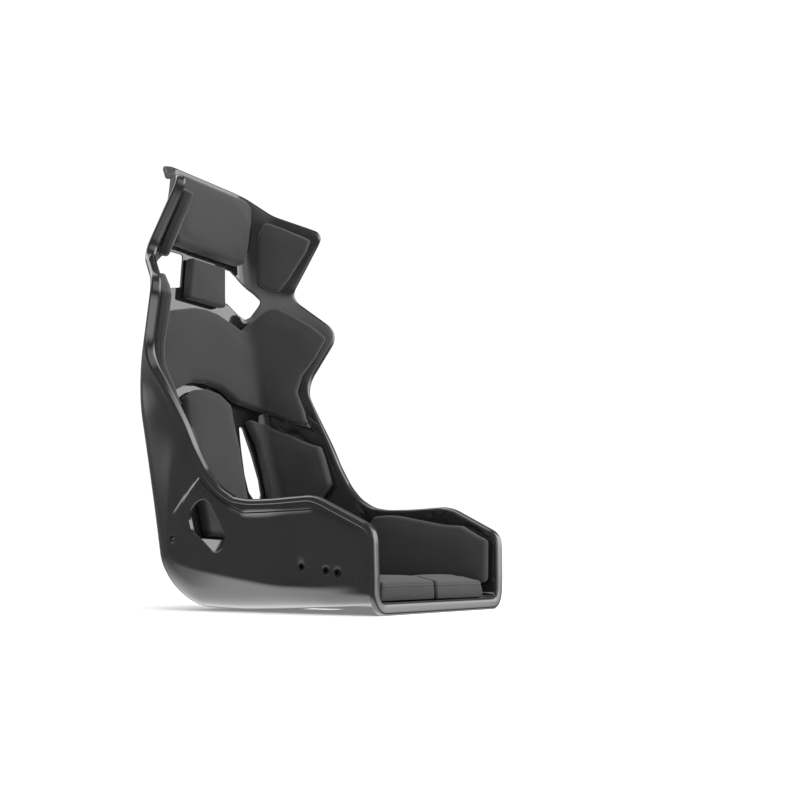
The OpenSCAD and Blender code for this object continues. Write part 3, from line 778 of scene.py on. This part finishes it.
def puffed(points, faces, share):
    """The points moved as a pressurised cover moves them, from a cloth simulation."""
    scene = bpy.context.scene
    mesh = bpy.data.meshes.new("puff")
    mesh.from_pydata([tuple(p) for p in points * MM], [], faces)
    obj = bpy.data.objects.new("puff", mesh)
    scene.collection.objects.link(obj)
    grid = obj.modifiers.new("voxels", "REMESH")
    grid.mode = "VOXEL"
    grid.voxel_size = VOXEL
    coarse = bpy.data.meshes.new_from_object(
        obj.evaluated_get(bpy.context.evaluated_depsgraph_get()))
    obj.modifiers.clear()
    obj.data = coarse
    start = np.array([v.co[:] for v in coarse.vertices])
    tree = kdtree.KDTree(len(points))
    for i, p in enumerate(points * MM):
        tree.insert(p, i)
    tree.balance()
    pin = obj.vertex_groups.new(name="pin")
    for i, p in enumerate(start):
        high = share[tree.find(p)[1]]
        pin.add([i], float(1 - smooth(high, *PIN_SHARE)), "REPLACE")
    cloth_mod = obj.modifiers.new("cloth", "CLOTH")
    settings = cloth_mod.settings
    settings.use_pressure = True
    settings.uniform_pressure_force = PRESSURE
    settings.effector_weights.gravity = 0
    settings.vertex_group_mass = "pin"
    cloth_mod.point_cache.frame_start = 1
    cloth_mod.point_cache.frame_end = FRAMES
    for frame_number in range(1, FRAMES + 1):
        scene.frame_set(frame_number)
    end = obj.evaluated_get(bpy.context.evaluated_depsgraph_get()).to_mesh()
    moved = np.array([v.co[:] for v in end.vertices]) - start
    edges = np.array([e.vertices[:] for e in coarse.edges])
    for _ in range(SMOOTHING):
        total = moved.copy()
        count = np.ones(len(moved))
        for a, b in (edges.T, edges.T[::-1]):
            np.add.at(total, a, moved[b])
            np.add.at(count, a, 1)
        moved = total / count[:, None]
    scene.frame_set(1)
    bpy.data.objects.remove(obj)
    bpy.data.meshes.remove(mesh)
    size = np.linalg.norm(moved, axis=1, keepdims=True)
    moved *= np.minimum(1, CAP * MM / np.maximum(size, 1e-9))
    tree = kdtree.KDTree(len(start))
    for i, p in enumerate(start):
        tree.insert(p, i)
    tree.balance()
    out = points.copy()
    for i, p in enumerate(points * MM):
        near = tree.find_n(p, NEAREST)
        w = np.array([1 / (d + SOFTENING) ** 2 for _, _, d in near])
        out[i] += (w @ moved[[j for _, j, _ in near]]) / w.sum() / MM
    return out


# ---------------------------------------------------------------- materials
def nodes_of(name):
    """A new material, its node tree and its main shader."""
    m = bpy.data.materials.new(name)
    m.use_nodes = True
    t = m.node_tree
    return m, t, t.nodes["Principled BSDF"]


def math_node(tree, op, a, b=None):
    node = tree.nodes.new("ShaderNodeMath")
    node.operation = op
    for i, x in enumerate((a, b)):
        if x is None:
            continue
        if isinstance(x, (int, float)):
            node.inputs[i].default_value = x
        else:
            tree.links.new(x, node.inputs[i])
    return node.outputs[0]


def ramp(tree, source, stops):
    """Colour by value; each stop's colour is three numbers, or one for a grey."""
    node = tree.nodes.new("ShaderNodeValToRGB")
    tree.links.new(source, node.inputs[0])
    while len(node.color_ramp.elements) < len(stops):
        node.color_ramp.elements.new(0.5)
    for e, (at, value) in zip(node.color_ramp.elements, stops):
        e.position = at
        e.color = tuple(value) + (1.0,) if hasattr(value, "__len__") else (value,) * 3 + (1.0,)
    return node.outputs[0]


def noise(tree, vector, scale, detail=3.0, rough=0.5):
    node = tree.nodes.new("ShaderNodeTexNoise")
    node.inputs["Scale"].default_value = scale
    node.inputs["Detail"].default_value = detail
    node.inputs["Roughness"].default_value = rough
    tree.links.new(vector, node.inputs["Vector"])
    return node.outputs[0]


def bump(tree, height, distance, strength=1.0, normal_in=None):
    node = tree.nodes.new("ShaderNodeBump")
    node.inputs["Strength"].default_value = strength
    node.inputs["Distance"].default_value = distance
    tree.links.new(height, node.inputs["Height"])
    if normal_in is not None:
        tree.links.new(normal_in, node.inputs["Normal"])
    return node.outputs[0]


def object_coords(tree):
    return tree.nodes.new("ShaderNodeTexCoord").outputs["Object"]


def gel_coat():
    m, t, b = nodes_of("gloss_black_gelcoat")
    at = object_coords(t)
    tone = noise(t, at, 14, 4)
    t.links.new(ramp(t, tone, [(0.3, (0.009, 0.009, 0.010)), (0.7, (0.013, 0.013, 0.014))]),
                b.inputs["Base Color"])
    haze = noise(t, at, 9, 6, 0.6)
    t.links.new(ramp(t, haze, [(0.35, 0.06), (0.75, 0.10)]), b.inputs["Roughness"])
    b.inputs["Specular IOR Level"].default_value = 0.5
    b.inputs["Coat Weight"].default_value = 1.0
    b.inputs["Coat Roughness"].default_value = 0.03
    b.inputs["Coat IOR"].default_value = 1.8
    peel = noise(t, at, 260, 2)
    lay = noise(t, at, 22, 2)
    n = bump(t, peel, 0.00002, 0.08)
    t.links.new(bump(t, lay, 0.0002, 0.12, n), b.inputs["Normal"])
    return m


STITCH = 0.0052
STITCH_ROW = 0.0024
STITCH_FILL = 0.66
THREAD = 0.0005
KNIT = 0.0013
# Sockets of a colour Mix node, whose names are shared with its other types
MIX_A, MIX_B, MIX_OUT = 6, 7, 2


def stitches(t):
    """1 on the thread of the row of stitches in front of the seam, else 0."""
    seam = t.nodes.new("ShaderNodeAttribute")
    seam.attribute_name = "seam"
    part = t.nodes.new("ShaderNodeSeparateXYZ")
    t.links.new(seam.outputs["Vector"], part.inputs[0])
    off = math_node(t, "ABSOLUTE", math_node(t, "SUBTRACT", part.outputs[1], STITCH_ROW))
    row = math_node(t, "LESS_THAN", off, THREAD)
    along = math_node(t, "FRACT", math_node(t, "DIVIDE", part.outputs[0], STITCH))
    return math_node(t, "MULTIPLY", row, math_node(t, "LESS_THAN", along, STITCH_FILL))


def fabric():
    m, t, b = nodes_of("charcoal_pad_fabric")
    at = object_coords(t)
    uv = t.nodes.new("ShaderNodeAttribute")
    uv.attribute_name = "weave"
    split = t.nodes.new("ShaderNodeSeparateXYZ")
    t.links.new(uv.outputs["Vector"], split.inputs[0])
    wave = [math_node(t, "SINE", math_node(t, "MULTIPLY", split.outputs[k],
                                           2 * math.pi / KNIT))
            for k in (0, 1)]
    knit = math_node(t, "MULTIPLY", wave[0], wave[1])
    fibre = noise(t, uv.outputs["Vector"], 2600, 2)
    cloud = noise(t, at, 9, 4)
    height = math_node(t, "ADD", math_node(t, "MULTIPLY", knit, 0.5), fibre)
    tone = math_node(t, "ADD", math_node(t, "MULTIPLY", knit, 0.09),
                     math_node(t, "ADD", math_node(t, "MULTIPLY", cloud, 0.5),
                               math_node(t, "MULTIPLY", fibre, 0.5)))
    thread = stitches(t)
    dye = t.nodes.new("ShaderNodeMix")
    dye.data_type = "RGBA"
    t.links.new(thread, dye.inputs["Factor"])
    t.links.new(ramp(t, tone, [(0.25, (0.024, 0.024, 0.0255)), (0.75, (0.042, 0.042, 0.044))]),
                dye.inputs[MIX_A])
    dye.inputs[MIX_B].default_value = (0.075, 0.075, 0.08, 1)
    t.links.new(dye.outputs[MIX_OUT], b.inputs["Base Color"])
    t.links.new(ramp(t, fibre, [(0.3, 0.72), (0.7, 0.88)]), b.inputs["Roughness"])
    b.inputs["Specular IOR Level"].default_value = 0.3
    b.inputs["Sheen Weight"].default_value = 0.18
    b.inputs["Sheen Roughness"].default_value = 0.45
    knit_bump = bump(t, height, 0.00012, 0.6)
    t.links.new(bump(t, thread, 0.0005, 0.8, knit_bump), b.inputs["Normal"])
    return m


def black_steel():
    m, t, b = nodes_of("black_oxide_steel")
    at = object_coords(t)
    grain = noise(t, at, 900, 3)
    t.links.new(ramp(t, noise(t, at, 60, 3), [(0.3, (0.012, 0.012, 0.013)),
                                             (0.7, (0.022, 0.022, 0.024))]),
                b.inputs["Base Color"])
    b.inputs["Metallic"].default_value = 0.6
    t.links.new(ramp(t, grain, [(0.3, 0.35), (0.7, 0.55)]), b.inputs["Roughness"])
    t.links.new(bump(t, grain, 0.00003, 0.5), b.inputs["Normal"])
    return m


def hook_tape():
    m, t, b = nodes_of("hook_and_loop_tape")
    at = object_coords(t)
    loops = t.nodes.new("ShaderNodeTexVoronoi")
    loops.inputs["Scale"].default_value = 900
    t.links.new(at, loops.inputs["Vector"])
    t.links.new(ramp(t, loops.outputs["Distance"], [(0.1, 0.010), (0.7, 0.028)]),
                b.inputs["Base Color"])
    b.inputs["Roughness"].default_value = 0.9
    t.links.new(bump(t, loops.outputs["Distance"], 0.0003, 0.9), b.inputs["Normal"])
    return m


# ---------------------------------------------------------------- build
gel = gel_coat()
cloth = fabric()
steel = black_steel()
tape = hook_tape()

shell = build_shell()
shell.data.materials.append(gel)
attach(shell, "root")
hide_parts(*[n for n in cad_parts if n.startswith("shell")])

for name, spec in PADS.items():
    points, faces, plane, seam, share = build_pad(spec)
    points = puffed(points, faces, share)
    paired = min(c for _, c in spec["loop"]) > 0
    for side, sign in ((("_left", 1), ("_right", -1)) if paired else (("", 1),)):
        pad = make(name + side, points * [sign, 1, 1], faces, angle=60, weave=plane,
                   seam=seam)
        pad.data.materials.append(cloth)
        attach(pad, "root")
        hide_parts(name + "_cover" + side, name + "_foam" + side)

for name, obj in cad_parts.items():
    finish = steel if name.startswith("mount_") else tape if "_tape" in name else None
    if finish:
        obj.data.materials.clear()
        obj.data.materials.append(finish)


# ---------------------------------------------------------------- stage, light, camera
def plane_mesh(name, size, z):
    mesh = bpy.data.meshes.new(name)
    mesh.from_pydata([(-size, -size, z), (size, -size, z), (size, size, z), (-size, size, z)],
                     [], [(0, 1, 2, 3)])
    obj = bpy.data.objects.new(name, mesh)
    bpy.context.scene.collection.objects.link(obj)
    return obj


def pale_floor():
    m, _, b = nodes_of("pale_floor")
    b.inputs["Base Color"].default_value = (0.9, 0.9, 0.9, 1)
    b.inputs["Roughness"].default_value = 0.9
    b.inputs["Specular IOR Level"].default_value = 0.1
    b.inputs["Emission Color"].default_value = (1, 1, 1, 1)
    b.inputs["Emission Strength"].default_value = 0.12
    return m


floor = plane_mesh("floor", 60, 0)
floor.data.materials.append(pale_floor())
floor.visible_glossy = False


BACKDROP = 1.05
ROOM = 0.15
# Soft panels that only reflections see: direction, inner and outer half angle, level
PANELS = [
    ((0.62, -0.70, 0.42), 17, 40, 2.0),
    ((0.2, -0.97, 0.06), 10, 26, 1.3),
    ((0.0, 0.35, 0.94), 10, 34, 1.4),
    ((-0.3, 0.75, 0.58), 14, 34, 1.8),
    ((-0.35, -0.9, 0.25), 10, 38, 0.7),
    ((0.0, 0.2, -0.98), 46, 74, 1.25),
]


def studio_world():
    """White backdrop and even light, and a darker room with soft panels for reflections."""
    world = bpy.data.worlds.new("studio")
    bpy.context.scene.world = world
    world.use_nodes = True
    t = world.node_tree
    towards = t.nodes.new("ShaderNodeTexCoord").outputs["Generated"]
    room = ROOM
    for way, inner, outer, level in PANELS:
        dot = t.nodes.new("ShaderNodeVectorMath")
        dot.operation = "DOT_PRODUCT"
        dot.inputs[1].default_value = Vector(way).normalized()
        t.links.new(towards, dot.inputs[0])
        lobe = t.nodes.new("ShaderNodeMapRange")
        lobe.interpolation_type = "SMOOTHSTEP"
        lobe.inputs["From Min"].default_value = math.cos(math.radians(outer))
        lobe.inputs["From Max"].default_value = math.cos(math.radians(inner))
        lobe.inputs["To Max"].default_value = level
        t.links.new(dot.outputs["Value"], lobe.inputs["Value"])
        room = math_node(t, "ADD", lobe.outputs["Result"], room)
    path = t.nodes.new("ShaderNodeLightPath")
    mix = t.nodes.new("ShaderNodeMix")
    t.links.new(path.outputs["Is Glossy Ray"], mix.inputs["Factor"])
    mix.inputs["A"].default_value = BACKDROP
    t.links.new(room, mix.inputs["B"])
    t.links.new(mix.outputs["Result"], t.nodes["Background"].inputs[0])


studio_world()


def softbox(name, at, aim, size, power):
    """Area light that neither the camera nor reflections see."""
    data = bpy.data.lights.new(name, "AREA")
    data.shape = "RECTANGLE"
    data.size, data.size_y = size
    data.energy = power
    obj = bpy.data.objects.new(name, data)
    obj.location = at
    obj.rotation_mode = "QUATERNION"
    obj.rotation_quaternion = (Vector(aim) - Vector(at)).to_track_quat("-Z", "Y")
    obj.visible_camera = False
    obj.visible_glossy = False
    bpy.context.scene.collection.objects.link(obj)


softbox("key", (1.9, -2.2, 1.7), (0, 0, 0.45), (1.8, 1.8), 60)
softbox("top", (0.0, -0.3, 2.8), (0, 0, 0.4), (2.0, 2.0), 60)

EYE = (-1.62803, -1.20645, 0.07363)
AIM = (0.0, -0.02795, 0.39915)
camera = bpy.data.cameras.new("camera")
camera.lens = 48.87
camera.sensor_width = 36
camera.shift_x = 0.1
camera.shift_y = -0.01
camera.clip_end = 100
eye = bpy.data.objects.new("camera", camera)
eye.location = EYE
eye.rotation_mode = "QUATERNION"
eye.rotation_quaternion = (Vector(AIM) - Vector(EYE)).to_track_quat("-Z", "Y")
bpy.context.scene.collection.objects.link(eye)
bpy.context.scene.camera = eye
bpy.context.scene.view_settings.view_transform = "Standard"
